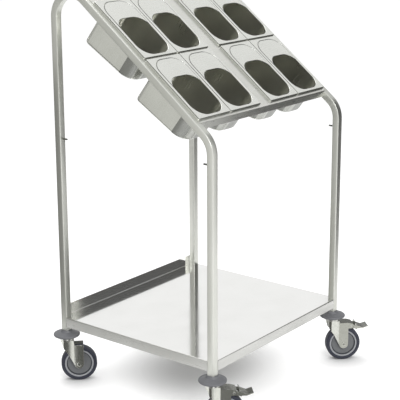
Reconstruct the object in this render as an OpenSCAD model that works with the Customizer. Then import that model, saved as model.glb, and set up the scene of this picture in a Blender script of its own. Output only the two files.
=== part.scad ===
// Tray and cutlery trolley: two bent tube sides, a sloping rack with eight lift-out cutlery
// containers, a tray shelf and four swivel castors on round bumpers, two of them braked.
// Front is -Y, the operator's right is +X, the floor is Z = 0 under the middle of the frame.

/* [Frame tubes] */
// Distance between the centre lines of the left and right posts
frame_w = 717; // [700:1:900]
// Distance between the centre lines of the front and rear posts
frame_d = 639; // [600:1:760]
// Outer size of the square tube
tube = 25; // [20:1:32]
// Wall of the square tube
tube_wall = 1.5; // [1:0.1:2.5]
// Outer corner radius of the square tube
tube_r = 3; // [2:0.5:4]
// Centre line radius of both bends
bend_r = 80; // [60:1:90]
// Height of the open lower ends of the posts
post_end_z = 187; // [180:1:200]
// Height where the centre lines of front post and slope meet
front_corner_z = 935.5; // [880:0.5:1000]
// Rise of the slope from the horizontal
slope = 38; // [34:1:40]

/* [Cutlery rack] */
// Thickness of the rack's sheet
rack_t = 1.5; // [1:0.1:2.5]
// Distance of the rack's front fold from the post centre line, along the slope
rack_start = 62; // [58:1:66]
// Length of the rack's sheet along the slope
rack_l = 572; // [560:1:574]
// Width of each side tube's top that the rack's sheet covers
rack_lap = 9; // [4:0.5:12]
// Height of the front edge, folded straight down
front_lip = 19.5; // [14:0.5:32]
// Height of the upper edge, folded square to the sheet
rear_lip = 18; // [12:1:24]
// Outer fold radius of all sheet pieces
fold_r = 3; // [2.6:0.1:4]
// Gap between a hole of the rack and the container's body
rack_gap = 1.6; // [1:0.1:2]

/* [Containers] */
// Width of a container's flange
flange_w = 162; // [160:1:163]
// Length of a container's flange along the slope
flange_l = 265; // [262:1:268]
// Height of the flange's turned-down edge
flange_h = 7; // [5:0.1:9]
// Corner radius of the flange
flange_r = 8; // [5:0.5:12]
// Gap between the flanges of one pair
pair_gap = 1; // [0.6:0.1:2]
// Gap between the upper and the lower row
row_gap = 5; // [3:0.5:8]
// Clear strip between the left and the right pairs
centre_gap = 57; // [50:1:60]
// Distance from the rack's front fold to the lower row
row_start = 10.7; // [9:0.1:12]
// Air under the flanges, which lift off freely
rest_gap = 0.3; // [0.2:0.1:0.5]
// Sheet thickness of containers and covers
pan_t = 1.2; // [1:0.1:1.6]
// Width of the mouth
mouth_w = 140; // [134:1:142]
// Length of the mouth, cover included
mouth_l = 244; // [238:1:246]
// Corner radius of the mouth
mouth_r = 50; // [40:1:60]
// Length of the body along the slope, inside
body_l = 220; // [210:1:226]
// Corner radius of the body's upper end
body_r = 18; // [10:1:30]
// Depth of the body at its upper end, from the flange's top
deep_end = 142; // [120:1:150]
// Slant of the body's bottom to the flange
bottom_slant = 6.5; // [5:0.5:14]
// Length of the open part of the mouth, in front of the cover
open_l = 165; // [150:1:180]

/* [Tray shelf] */
// Height of the shelf's top face
shelf_z = 235; // [230:1:300]
// Thickness of the shelf's sheet
shelf_t = 1.5; // [1:0.1:2.5]
// Height of the folded-down front and side edges
apron_h = 34; // [25:1:40]
// Height of the folded-up rear edge
upstand_h = 38; // [30:1:60]

/* [Stop pins] */
// Diameter of the pins between the posts
pin_d = 6; // [4:0.5:10]
// Length of the pins from the posts' inner faces
pin_l = 18; // [12:1:30]
// Height of the pins
pin_z = 868; // [600:1:870]

/* [Bumpers] */
// Diameter of the bumper discs
bumper_d = 92; // [80:1:96]
// Thickness of the bumper's rounded rim
bumper_rim = 8; // [6:0.5:9]
// Diameter of the collar under the bumper's rim
bumper_foot_d = 59; // [50:1:64]
// Height of the collar under the bumper's rim
bumper_foot_h = 6.5; // [4:0.5:8]
// Diameter of the collar that meets the post
bumper_neck_d = 36; // [34:1:44]

/* [Castors] */
// Diameter of the wheels
wheel_d = 125; // [110:1:126]
// Width of the tyres
tyre_w = 32; // [28:1:33]
// Diameter of the tyre's seat on the wheel centre
tyre_seat_d = 100; // [92:1:104]
// Width of the wheel centre's rim, seen from the side
wheel_rim_w = 5.5; // [4:0.5:8]
// Outer diameter of the bush in the wheel
bush_d = 20; // [18:1:26]
// Diameter of the axle
axle_d = 12; // [10:0.5:14]
// Horizontal distance from the swivel axis to the axle
trail = 40; // [36:1:42]
// Direction in which the castors trail at rest, from +X
castor_angle = -45; // [-180:1:180]
// Height of the top of the forks
fork_top_z = 152; // [150:0.5:154]
// Sheet thickness of the forks
fork_t = 2.5; // [2:0.1:3]
// Clear width between the fork's legs
fork_inner_w = 40; // [39:0.5:42]
// Distance of the fork's rear edge behind the axle
fork_rear = 16; // [14:0.5:18]
// Distance behind the swivel axis where the fork's side is creased
crease_u = 22; // [18:1:26]
// Diameter of the swivel race
race_d = 54; // [46:1:58]
// Diameter of the stem bolt and its kingpin
stem_d = 12; // [10:0.5:14]
// Length of the expander inside the post
expander_l = 55; // [40:1:80]
// Running clearance of axle, kingpin and pedal pin, on the radius
run_gap = 0.05; // [0.02:0.01:0.1]

/* [Brake pedals] */
// Distance of the pedal's pivot behind the swivel axis
pivot_u = 66; // [65:0.5:68]
// Height of the pedal's pivot
pivot_z = 131; // [130:0.5:132]
// Distance of the pedal's tip behind the swivel axis
pedal_reach = 129; // [120:1:136]
// Diameter of the pedal's pin
pedal_pin_d = 6; // [5:0.5:7]
// Swing that presses the brake pad on the tyre
pedal_swing = 14; // [8:1:16]

/* [Hidden] */
$fn = 64;
eps = 0.01;
steel = "#b9bab4";
bright_steel = "#d8d9d6";
grey_plastic = "#7d7e82";
light_plastic = "#97989c";
dark_rubber = "#2f323c";

// Half sizes of the frame, to the posts' centre lines and outer faces
post_x = frame_w / 2;
post_y = frame_d / 2;
outer_x = post_x + tube / 2;
outer_y = post_y + tube / 2;
inner_x = post_x - tube / 2;

// Bends: the front one turns by 90 - slope, the rear one by 90 + slope
front_turn = 90 - slope;
rear_turn = 90 + slope;
front_tangent = bend_r * tan(front_turn / 2);
rear_tangent = bend_r * tan(rear_turn / 2);
rear_corner_z = front_corner_z + frame_d * tan(slope);
front_bend_z = front_corner_z - front_tangent;
rear_bend_z = rear_corner_z - rear_tangent;
slope_len = frame_d / cos(slope) - front_tangent - rear_tangent;

// The rack's plane is the tubes' top face. Places on it are s, up the slope from the front
// posts' centre line, and n, square to it and outwards.
plane_z = front_corner_z + tube / 2 / cos(slope);
function on_slope(x, s, n) = [
    x, -post_y + s * cos(slope) - n * sin(slope), plane_z + s * sin(slope) + n * cos(slope)];

// Straight runs of a side tube end a hair before each bend. A thinner lap inside the wall
// reaches into the bend and joins them.
lap_hair = 0.02;
lap_l = 2.5;
lap_inset = tube_wall / 4;

// Rows and columns of the containers
lower_s = rack_start + row_start;
upper_s = lower_s + flange_l + row_gap;
row_s = [lower_s, upper_s];
pitch_x = flange_w + pair_gap;
first_x = centre_gap / 2 + flange_w / 2;
column_x = [-first_x - pitch_x, -first_x, first_x, first_x + pitch_x];

// A container's own frame has its origin in the middle of the flange's lower edge, on the
// underside of the rack's sheet, with x across, y up the slope and z outwards
flange_low = rack_t + rest_gap;
flange_top = flange_low + flange_h;
mouth_y = (flange_l - mouth_l) / 2;
skirt_l = deep_end + pan_t;
horn_cut = 12;

// Castor heights from the floor up, and places u behind the swivel axis
axle_z = wheel_d / 2;
crown_z = fork_top_z - fork_t;
race_z = fork_top_z + 0.5;
race_drop = 28;
race_top = post_end_z - race_drop;
rim_low = race_top + bumper_foot_h;
leg_out = fork_inner_w / 2 + fork_t;
fork_rear_u = trail + fork_rear;
nose_u = -3;
nose_r = leg_out - 2.5;
ear_r = 9;
// Fork's side: corner of the front edge under the crown, and the slope's end above the eye
chin_u = 12;
chin_drop = 30;
heel_u = 19;
heel_rise = 38;
// Step from the crown down to the rear of a leg without a brake, and height of the hood that
// covers the wheel from leg to leg on a fork with one
shoulder_drop = 19;
hood_z = pivot_z + ear_r + 4;
// Pedal: start of the plate, start of the turned-up tip, and the pad's reach under the pin
tread_u = pivot_u + 17;
tip_l = 19;
tip_u = pedal_reach - tip_l;
pad_drop = 19;
castor_x = [-post_x, post_x, -post_x, post_x];
castor_y = [-post_y, -post_y, post_y, post_y];

// Flat outlines

module rounded_rect(w, l, r) {
    square([w - 2 * r, l], center = true);
    square([w, l - 2 * r], center = true);
    for (x = [-1, 1], y = [-1, 1]) translate([x * (w / 2 - r), y * (l / 2 - r)]) circle(r = r);
}

// A rounded outline from y0 to y1 with its own radius at each end
module two_radius_rect(w, y0, y1, r0, r1) {
    translate([-w / 2, y0 + r0]) square([w, y1 - y0 - r0 - r1]);
    translate([-w / 2 + r0, y0]) square([w - 2 * r0, r0 + eps]);
    translate([-w / 2 + r1, y1 - r1 - eps]) square([w - 2 * r1, r1 + eps]);
    for (x = [-1, 1]) {
        translate([x * (w / 2 - r0), y0 + r0]) circle(r = r0);
        translate([x * (w / 2 - r1), y1 - r1]) circle(r = r1);
    }
}

// A folded edge: leg a runs from the corner along +x with its outer face up, leg b turns
// down from it by the given angle. Where that isn't square, leg b ends a hair before the
// fold and a thinner lap inside the wall joins them.
module folded(a, b, t, r, turn = 90) {
    reach = r * tan(turn / 2);
    hair = turn == 90 ? 0 : lap_hair;
    lap = r / 6;
    translate([reach, -t]) square([a - reach, t]);
    translate([reach, -r]) {
        intersection() {
            difference() {
                circle(r = r);
                circle(r = r - t);
            }
            polygon([[0, 0], for (k = [0:4]) 2 * r * [cos(90 + turn * k / 4), sin(90 + turn * k / 4)]]);
        }
        rotate([0, 0, turn]) {
            translate([reach - b, r - t]) square([b - reach - hair, t]);
            if (turn != 90) translate([-2 * lap, r - 3 * t / 4]) square([3 * lap, t / 2]);
        }
    }
}

// Placing

// Local x, y, z become world Y, Z, X
module in_side_plane() rotate([90, 0, 90]) children();
// Local x, y, z become world X, up the slope, outwards
module at_slope(x, s, n) translate(on_slope(x, s, n)) rotate([slope, 0, 0]) children();
// Local x points along the castor's trail, z up
module at_castor(i) translate([castor_x[i], castor_y[i], 0]) rotate([0, 0, castor_angle]) children();

// Frame

// Square tube's cross section, with its wall thinned by inset on both faces
module tube_section(inset) {
    hollow = tube - 2 * (tube_wall - inset);
    difference() {
        rounded_rect(tube - 2 * inset, tube - 2 * inset, tube_r - inset);
        rounded_rect(hollow, hollow, tube_r - tube_wall + inset);
    }
}

// Straight run along z, lapped into a bend at its start and at its end where asked
module run(len, lap_start, lap_end) {
    z0 = lap_start ? lap_hair : 0;
    z1 = lap_end ? len - lap_hair : len;
    translate([0, 0, z0]) linear_extrude(z1 - z0) tube_section(0);
    if (lap_start) translate([0, 0, -lap_l]) linear_extrude(2 * lap_l) tube_section(lap_inset);
    if (lap_end) translate([0, 0, len - lap_l]) linear_extrude(2 * lap_l) tube_section(lap_inset);
}

module bend(turn) rotate_extrude(angle = turn) translate([bend_r, 0]) tube_section(0);

module side_frame(side) {
    color(steel) translate([side * post_x, 0, 0]) in_side_plane() {
        translate([-post_y, post_end_z, 0]) rotate([-90, 0, 0])
            run(front_bend_z - post_end_z, false, true);
        translate([-post_y + bend_r, front_bend_z, 0]) rotate([0, 0, rear_turn]) {
            bend(front_turn);
            translate([bend_r, 0, 0]) rotate([90, 0, 0]) run(slope_len, true, true);
        }
        translate([post_y - bend_r, rear_bend_z, 0]) bend(rear_turn);
        translate([post_y, post_end_z, 0]) rotate([-90, 0, 0])
            run(rear_bend_z - post_end_z, false, true);
    }
}

// The rack's sheet lies on both side tubes. Its front edge hangs straight down between
// them, its upper edge is folded square to the sheet.
module rack_panel() {
    panel_x = inner_x + rack_lap;
    lip_x = inner_x - 0.3;
    reach = fold_r;
    color(steel) {
        at_slope(0, 0, 0) linear_extrude(rack_t) difference() {
            translate([-panel_x, rack_start + reach]) square([2 * panel_x, rack_l - 2 * reach]);
            for (s0 = row_s, x = column_x) translate([x, s0]) body_outline(pan_t + rack_gap);
        }
        at_slope(0, rack_start, rack_t) rotate([90, 0, 90]) translate([0, 0, -lip_x])
            linear_extrude(2 * lip_x) folded(reach + eps, front_lip, rack_t, fold_r, front_turn);
        at_slope(0, rack_start + rack_l, rack_t) rotate([90, 0, -90]) translate([0, 0, -lip_x])
            linear_extrude(2 * lip_x) folded(reach + eps, rear_lip, rack_t, fold_r);
    }
}

module stop_pin(x, y) {
    color(bright_steel) translate([x * post_x, y * (post_y - tube / 2), pin_z])
        rotate([y * 90, 0, 0]) cylinder(d = pin_d, h = pin_l);
}

// Tray shelf: one sheet with cut-outs at the posts, three edges folded down, the rear one up

module shelf_edge(len, h) {
    rotate([90, 0, 90]) translate([0, 0, -len / 2]) linear_extrude(len)
        folded(fold_r + eps, h, shelf_t, fold_r);
}

module tray_shelf() {
    plate_x = outer_x - fold_r;
    plate_y = outer_y - fold_r;
    front_len = 2 * (outer_x - tube);
    side_len = 2 * (outer_y - tube);
    color(bright_steel) {
        translate([0, 0, shelf_z - shelf_t]) linear_extrude(shelf_t) difference() {
            square([2 * plate_x, 2 * plate_y], center = true);
            for (x = [-1, 1], y = [-1, 1])
                translate([x * outer_x, y * outer_y]) square(2 * tube, center = true);
        }
        translate([0, -outer_y, shelf_z]) shelf_edge(front_len, apron_h);
        for (x = [-1, 1])
            translate([x * outer_x, 0, shelf_z]) rotate([0, 0, 90 * x]) shelf_edge(side_len, apron_h);
        translate([0, outer_y, shelf_z - shelf_t]) rotate([180, 0, 0])
            shelf_edge(front_len, upstand_h);
    }
}

// Containers

// Plan of the body: a round nose at the lower end, rounded corners at the upper end
module body_outline(grow) {
    two_radius_rect(mouth_w + 2 * grow, mouth_y - grow, mouth_y + body_l + grow,
        mouth_r + grow, body_r + grow);
}

module mouth_outline(grow) {
    translate([0, flange_l / 2])
        rounded_rect(mouth_w + 2 * grow, mouth_l + 2 * grow, mouth_r + grow);
}

// All that lies under the slanted bottom, which is lowered by drop
module below_bottom(drop) {
    translate([0, mouth_y + body_l, flange_top - deep_end - drop]) rotate([-bottom_slant, 0, 0])
        translate([-flange_w, -2 * flange_l, -flange_l]) cube([2 * flange_w, 3 * flange_l, flange_l]);
}

module flange() {
    difference() {
        translate([0, flange_l / 2, flange_low]) linear_extrude(flange_h)
            rounded_rect(flange_w, flange_l, flange_r);
        translate([0, flange_l / 2, flange_low - eps]) linear_extrude(flange_h - pan_t + eps)
            rounded_rect(flange_w - 2 * pan_t, flange_l - 2 * pan_t, flange_r - pan_t);
        linear_extrude(2 * flange_top) mouth_outline(0);
    }
}

// The ledge behind the body's end wall that carries the cover
module cover_ledge() {
    translate([0, 0, flange_top - 2 * pan_t]) linear_extrude(pan_t) difference() {
        mouth_outline(pan_t);
        body_outline(0);
        translate([-flange_w, -flange_l]) square([2 * flange_w, flange_l + mouth_y + body_l / 2]);
    }
}

module container() {
    color(bright_steel) {
        flange();
        cover_ledge();
        difference() {
            translate([0, 0, flange_top - skirt_l]) linear_extrude(skirt_l - pan_t / 2)
                body_outline(pan_t);
            below_bottom(pan_t);
            translate([0, 0, flange_top - pan_t]) linear_extrude(2 * pan_t) mouth_outline(0);
            difference() {
                translate([0, 0, flange_top - skirt_l]) linear_extrude(2 * skirt_l) body_outline(0);
                below_bottom(0);
            }
        }
    }
}

// The cover fills the upper part of the mouth, flush with the flange. Its two lower horns are
// cut off where they get thin.
module cover() {
    color(steel) translate([0, 0, flange_top - pan_t]) linear_extrude(pan_t) difference() {
        mouth_outline(0);
        two_radius_rect(mouth_w + 2, mouth_y - 1, mouth_y + open_l, mouth_r, mouth_r);
        translate([-flange_w, -flange_l])
            square([2 * flange_w, flange_l + mouth_y + open_l - mouth_r + horn_cut]);
    }
}

// Castors

module bumper(i) {
    rim_r = bumper_rim / 2;
    neck_r = bumper_neck_d / 2;
    rim_top = rim_low + bumper_rim;
    shoulder_z = (rim_top + post_end_z) / 2;
    color(grey_plastic) at_castor(i) rotate_extrude() difference() {
        union() {
            translate([0, race_top]) square([bumper_foot_d / 2, bumper_foot_h + rim_r]);
            translate([0, rim_low]) square([bumper_d / 2 - rim_r, bumper_rim]);
            translate([bumper_d / 2 - rim_r, rim_low + rim_r]) circle(r = rim_r);
            polygon([[0, rim_top - eps], [bumper_d / 2 - rim_r - 2, rim_top - eps],
                [neck_r + 4, shoulder_z], [neck_r, post_end_z], [0, post_end_z]]);
        }
        translate([-bumper_d, 0]) square([bumper_d, 3 * bumper_d]);
        square([stem_d / 2, 3 * bumper_d]);
    }
}

// Stem: kingpin with its head, swivel race and bolt, and the expander inside the post
module stem(i) {
    head_top = crown_z - 0.4;
    plug = tube - 2 * tube_wall - 0.2;
    color(bright_steel) at_castor(i) {
        translate([0, 0, head_top - 5]) cylinder(d = stem_d + 10, h = 5);
        translate([0, 0, head_top - 1]) cylinder(d = stem_d, h = post_end_z - head_top + 2);
        translate([0, 0, race_z]) cylinder(d = race_d - 4, h = race_top - race_z);
        translate([0, 0, race_z + 1.5]) cylinder(d = race_d, h = race_top - race_z - 1.5);
        rotate([0, 0, -castor_angle]) translate([0, 0, post_end_z]) linear_extrude(expander_l)
            rounded_rect(plug, plug, tube_r - tube_wall);
    }
}

// Plan of the fork: parallel legs behind the crease, converging to a round nose before it
module fork_plan(inset) {
    leg = leg_out - inset;
    nose = nose_r - inset;
    translate([nose_u, 0]) circle(r = nose);
    polygon([[nose_u, nose], [crease_u, leg], [fork_rear_u, leg], [fork_rear_u, -leg],
        [crease_u, -leg], [nose_u, -nose]]);
}

// Side view of the fork, u across and z up: the front edge slants down to the axle's eye,
// the rear edge is upright and ends lower than the crown
module fork_side(braked) {
    eye_tip = [trail - fork_rear * cos(35), axle_z - fork_rear * sin(35)];
    front_u = nose_u - nose_r - 1;
    rear_top_z = braked ? hood_z : fork_top_z - shoulder_drop;
    translate([trail, axle_z]) circle(r = fork_rear);
    polygon([[front_u, fork_top_z], [crease_u, fork_top_z], [crease_u + fork_t, rear_top_z],
        [fork_rear_u, rear_top_z], [fork_rear_u, axle_z], eye_tip,
        [crease_u - heel_u, axle_z + heel_rise], [-chin_u, crown_z - chin_drop],
        [front_u + 5, crown_z - 8], [front_u, crown_z - 8]]);
}

// Plan of the crown plate, which ends at the creases
module crown_plan() intersection() {
    fork_plan(0);
    translate([-wheel_d, -wheel_d]) square([wheel_d + crease_u, 2 * wheel_d]);
}

// Cylinder across the fork, at u and z
module across(u, z, d, w) translate([u, 0, z]) rotate([90, 0, 0]) cylinder(d = d, h = w, center = true);

// Slab across the fork between the two distances from its middle, on both sides
module both_sides(y0, y1) {
    for (y = [-1, 1]) translate([0, y * (y0 + y1) / 2, 0]) rotate([90, 0, 0])
        linear_extrude(y1 - y0, center = true) children();
}

// Slab across the whole fork, w wide
module full_width(w) rotate([90, 0, 0]) linear_extrude(w, center = true) children();

// Ears and hood that carry the pedal behind the legs of a braked fork
module brake_housing() {
    both_sides(leg_out - fork_t, leg_out) {
        translate([pivot_u, pivot_z]) circle(r = ear_r);
        polygon([[fork_rear_u - 4, hood_z - 2], [fork_rear_u + 2, hood_z - 3],
            [pivot_u + 4, pivot_z + ear_r - 1], [pivot_u, pivot_z - ear_r],
            [fork_rear_u - 4, pivot_z - ear_r]]);
    }
    full_width(2 * leg_out) polygon([[crease_u + fork_t, hood_z], [fork_rear_u, hood_z],
        [pivot_u + 8, pivot_z + 8], [pivot_u + 8, pivot_z + 8 - fork_t],
        [fork_rear_u, hood_z - fork_t], [crease_u + fork_t, hood_z - fork_t]]);
}

module fork(i) {
    braked = i < 2;
    color(steel) at_castor(i) difference() {
        union() {
            intersection() {
                linear_extrude(2 * wheel_d) difference() {
                    fork_plan(0);
                    fork_plan(fork_t);
                    translate([fork_rear_u - eps, fork_t - leg_out])
                        square([1, 2 * (leg_out - fork_t)]);
                }
                full_width(wheel_d) fork_side(braked);
            }
            translate([0, 0, crown_z]) linear_extrude(fork_t) crown_plan();
            if (braked) brake_housing();
        }
        translate([0, 0, crown_z - 1]) cylinder(r = stem_d / 2 + run_gap, h = wheel_d);
        across(trail, axle_z, axle_d, wheel_d);
        if (braked) across(pivot_u, pivot_z, pedal_pin_d, wheel_d);
    }
}

module axle(i) {
    head_h = 1.2;
    color(bright_steel) at_castor(i) difference() {
        union() {
            across(trail, axle_z, axle_d, 2 * (leg_out + head_h));
            for (y = [-1, 1]) translate([0, y * (leg_out + head_h / 2), 0])
                across(trail, axle_z, axle_d + 4, head_h);
        }
        across(trail, axle_z, axle_d / 3, 4 * leg_out);
    }
}

// Revolved round the axle: local x is the distance from the axle, local y runs along it
module round_axle(i) {
    at_castor(i) translate([trail, 0, axle_z]) rotate([90, 0, 0]) rotate_extrude() children();
}

module bush(i) {
    half = fork_inner_w / 2 - 0.8;
    bore = axle_d / 2 + run_gap;
    color(light_plastic) round_axle(i) translate([bore, -half]) square([bush_d / 2 - bore, 2 * half]);
}

// Wheel centre with rim, recessed web and hub
module wheel(i) {
    seat = tyre_seat_d / 2;
    rim_half = tyre_w / 2 - 2;
    web_half = rim_half - 5;
    hub_half = fork_inner_w / 2 - 2;
    bore = bush_d / 2;
    color(light_plastic) round_axle(i) {
        translate([seat - wheel_rim_w, -rim_half]) square([wheel_rim_w, 2 * rim_half]);
        translate([bore, -web_half]) square([seat - bore - 1, 2 * web_half]);
        translate([bore, -hub_half]) square([5, 2 * hub_half]);
    }
}

// Tyre with rounded shoulders and narrow chamfers at its seat
module tyre(i) {
    seat = tyre_seat_d / 2;
    half = tyre_w / 2;
    crown = wheel_d / 2;
    shoulder = min(crown - seat - 1, half - 2, 9);
    color(dark_rubber) round_axle(i) intersection() {
        polygon([[seat, -half + 2], [seat + 2, -half], [crown, -half], [crown, half],
            [seat + 2, half], [seat, half - 2]]);
        union() {
            translate([0, -half]) square([crown - shoulder, 2 * half]);
            translate([0, -half + shoulder]) square([crown, 2 * (half - shoulder)]);
            for (y = [-1, 1])
                translate([crown - shoulder, y * (half - shoulder)]) circle(r = shoulder);
        }
    }
}

// Side view of the pedal's plate: a catch, the tread and the turned-up tip
module pedal_plate_side() {
    t = fork_t;
    polygon([[tread_u, pivot_z + 9], [tread_u + t, pivot_z + 9], [tread_u + t, pivot_z + 2.4],
        [tip_u, pivot_z - 7.5], [pedal_reach, pivot_z - 2], [pedal_reach, pivot_z - 2 - t],
        [tip_u, pivot_z - 7.5 - t], [tread_u, pivot_z + 0.5]]);
}

// Side view of the cheeks between pin and plate
module pedal_cheek_side() {
    translate([pivot_u, pivot_z]) circle(r = ear_r - 2);
    polygon([[pivot_u, pivot_z + ear_r - 2], [tread_u, pivot_z + 2], [tread_u + 10, pivot_z - 3],
        [tread_u + 7, pivot_z - ear_r], [pivot_u, pivot_z - ear_r + 2]]);
}

// Side view of the skirts behind the fork's ears
module pedal_skirt_side() {
    difference() {
        polygon([[pivot_u, pivot_z + 4], [tread_u, pivot_z + 2], [tip_u, pivot_z - 8.5],
            [tip_u + 9, pivot_z - 7], [tip_u - 3, pivot_z - ear_r - 2],
            [pivot_u, pivot_z - ear_r]]);
        translate([pivot_u, pivot_z]) circle(r = ear_r + 1.5);
    }
}

// Brake pad under the plate, hollowed so that it meets the tyre when the pedal is down
module pedal_pad_side() {
    difference() {
        polygon([[tread_u - 3, pivot_z - pad_drop], [tread_u + 9, pivot_z - pad_drop],
            [tread_u + 9, pivot_z - 1.6], [tread_u + 1, pivot_z + 1.4], [tread_u - 3, pivot_z - 4]]);
        translate([pivot_u, pivot_z]) rotate([0, 0, pedal_swing])
            translate([trail - pivot_u, axle_z - pivot_z]) circle(r = wheel_d / 2 + 0.5);
    }
}

module pedal(i) {
    inner = leg_out - fork_t - 0.5;
    color(steel) at_castor(i) difference() {
        union() {
            full_width(2 * leg_out) pedal_plate_side();
            both_sides(inner - fork_t, inner) pedal_cheek_side();
            both_sides(leg_out - fork_t, leg_out) pedal_skirt_side();
            full_width(inner) pedal_pad_side();
        }
        across(pivot_u, pivot_z, pedal_pin_d + 2 * run_gap, wheel_d);
    }
}

module pedal_pin(i) {
    color(bright_steel) at_castor(i) {
        across(pivot_u, pivot_z, pedal_pin_d, 2 * leg_out);
        for (y = [-1, 1]) translate([0, y * (leg_out + 0.5), 0])
            across(pivot_u, pivot_z, pedal_pin_d + 3, 1);
    }
}

module place(row, column) at_slope(column_x[column], row_s[row], 0) children();

side_frame(-1);  // side_frame_left
side_frame(1);  // side_frame_right
rack_panel();
tray_shelf();
stop_pin(-1, -1);  // stop_pin_front_left
stop_pin(1, -1);  // stop_pin_front_right
stop_pin(-1, 1);  // stop_pin_rear_left
stop_pin(1, 1);  // stop_pin_rear_right
place(0, 0) container();  // container_lower_1
place(0, 1) container();  // container_lower_2
place(0, 2) container();  // container_lower_3
place(0, 3) container();  // container_lower_4
place(1, 0) container();  // container_upper_1
place(1, 1) container();  // container_upper_2
place(1, 2) container();  // container_upper_3
place(1, 3) container();  // container_upper_4
place(0, 0) cover();  // cover_lower_1
place(0, 1) cover();  // cover_lower_2
place(0, 2) cover();  // cover_lower_3
place(0, 3) cover();  // cover_lower_4
place(1, 0) cover();  // cover_upper_1
place(1, 1) cover();  // cover_upper_2
place(1, 2) cover();  // cover_upper_3
place(1, 3) cover();  // cover_upper_4
bumper(0);  // bumper_front_left
bumper(1);  // bumper_front_right
bumper(2);  // bumper_rear_left
bumper(3);  // bumper_rear_right
stem(0);  // stem_front_left
stem(1);  // stem_front_right
stem(2);  // stem_rear_left
stem(3);  // stem_rear_right
fork(0);  // fork_front_left
fork(1);  // fork_front_right
fork(2);  // fork_rear_left
fork(3);  // fork_rear_right
axle(0);  // axle_front_left
axle(1);  // axle_front_right
axle(2);  // axle_rear_left
axle(3);  // axle_rear_right
bush(0);  // bush_front_left
bush(1);  // bush_front_right
bush(2);  // bush_rear_left
bush(3);  // bush_rear_right
wheel(0);  // wheel_front_left
wheel(1);  // wheel_front_right
wheel(2);  // wheel_rear_left
wheel(3);  // wheel_rear_right
tyre(0);  // tyre_front_left
tyre(1);  // tyre_front_right
tyre(2);  // tyre_rear_left
tyre(3);  // tyre_rear_right
pedal(0);  // pedal_front_left
pedal(1);  // pedal_front_right
pedal_pin(0);  // pedal_pin_front_left
pedal_pin(1);  // pedal_pin_front_right
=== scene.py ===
import logging
import math
from collections.abc import Callable, Sequence
from dataclasses import dataclass, field
from enum import Enum

import bmesh
import bpy
from mathutils import Matrix, Vector


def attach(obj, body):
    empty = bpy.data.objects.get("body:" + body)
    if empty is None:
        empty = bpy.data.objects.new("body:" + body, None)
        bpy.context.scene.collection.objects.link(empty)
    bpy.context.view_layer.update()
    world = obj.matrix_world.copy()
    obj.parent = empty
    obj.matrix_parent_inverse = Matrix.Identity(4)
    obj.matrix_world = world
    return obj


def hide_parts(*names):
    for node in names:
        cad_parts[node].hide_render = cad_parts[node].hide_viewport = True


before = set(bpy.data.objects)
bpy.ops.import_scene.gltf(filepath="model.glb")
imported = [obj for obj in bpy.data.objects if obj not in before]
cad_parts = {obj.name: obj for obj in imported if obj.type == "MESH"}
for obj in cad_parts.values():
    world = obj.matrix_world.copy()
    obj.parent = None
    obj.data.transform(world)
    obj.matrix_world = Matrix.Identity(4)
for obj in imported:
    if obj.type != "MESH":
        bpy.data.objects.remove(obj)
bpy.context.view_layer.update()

LOG = logging.getLogger("trolley")
MM = 0.001

Piece = bpy.types.Object
Node = bpy.types.Node
Material = bpy.types.Material
Tree = bpy.types.NodeTree
Point2 = tuple[float, float]
Point3 = tuple[float, float, float]

# A rounded corner takes up less than half of the shorter side beside it.
CORNER_SHARE = 0.49
# Points of a solid closer than this, in metres, are one.
MERGE = 2e-6
# Faces of a solid that turn by less than this, in degrees, are one flat face.
FLAT_TURN = 0.4
# Edges that turn by more than these, in degrees, count as sharp on folded and pressed
# pieces, on wheels and bumpers, on drawn pieces and pins, and on the swept tubes.
EDGE_TURN = 32.0
ROUND_TURN = 35.0
DRAWN_TURN = 40.0
SWEPT_TURN = 50.0
# An outline's points closer to the axis than this, in millimetres, lie on it.
ON_AXIS = 1e-6
# Noise mostly lies between these two values.
NOISE_LOW, NOISE_HIGH = 0.3, 0.7
NOISE_ROUGHNESS = 0.55


# Small tools for colours, nodes and meshes


def linear(code: str) -> tuple[float, float, float, float]:
    """Turns an sRGB hex code into a linear colour.

    Args:
        code: The colour as #rrggbb.

    Returns:
        Linear red, green, blue and an alpha of one.
    """
    parts = [int(code[at:at + 2], 16) / 255 for at in (1, 3, 5)]
    rgb = [c / 12.92 if c <= 0.04045 else ((c + 0.055) / 1.055) ** 2.4 for c in parts]
    return (rgb[0], rgb[1], rgb[2], 1.0)


def add_node(tree: Tree, kind: str, settings: dict | None = None,
             links: dict | None = None) -> Node:
    """Adds one node to a tree.

    Args:
        tree: The shader or geometry tree.
        kind: The node's type.
        settings: Values by property name, input name or input number.
        links: What feeds each input, by the input's name or number: an output socket, a node
            for its first output, or None for nothing.

    Returns:
        The new node.
    """
    node = tree.nodes.new(kind)
    for key, value in (settings or {}).items():
        if isinstance(key, str) and hasattr(node, key):
            setattr(node, key, value)
        else:
            node.inputs[key].default_value = value
    for key, source in (links or {}).items():
        if source is not None:
            socket = source.outputs[0] if isinstance(source, Node) else source
            tree.links.new(socket, node.inputs[key])
    return node


def emptied(owner: Material | bpy.types.World) -> Tree:
    """Empties the node tree of a new material or world.

    Args:
        owner: The new material or world.

    Returns:
        Its node tree, with nothing in it.
    """
    owner.use_nodes = True
    owner.node_tree.nodes.clear()
    return owner.node_tree


def put(name: str, data: bpy.types.ID) -> Piece:
    """Puts a new object into the scene.

    Args:
        name: The object's name.
        data: Its mesh, camera or lamp.

    Returns:
        The object.
    """
    piece = bpy.data.objects.new(name, data)
    bpy.context.scene.collection.objects.link(piece)
    return piece


def quarter(radius: float, steps: int) -> list[Point2]:
    """Steps round a quarter circle: the way gone across, and the way left to go down."""
    turns = [math.radians(90 * step / steps) for step in range(steps + 1)]
    return [(radius * (1 - math.cos(turn)), radius * (1 - math.sin(turn))) for turn in turns]


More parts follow.
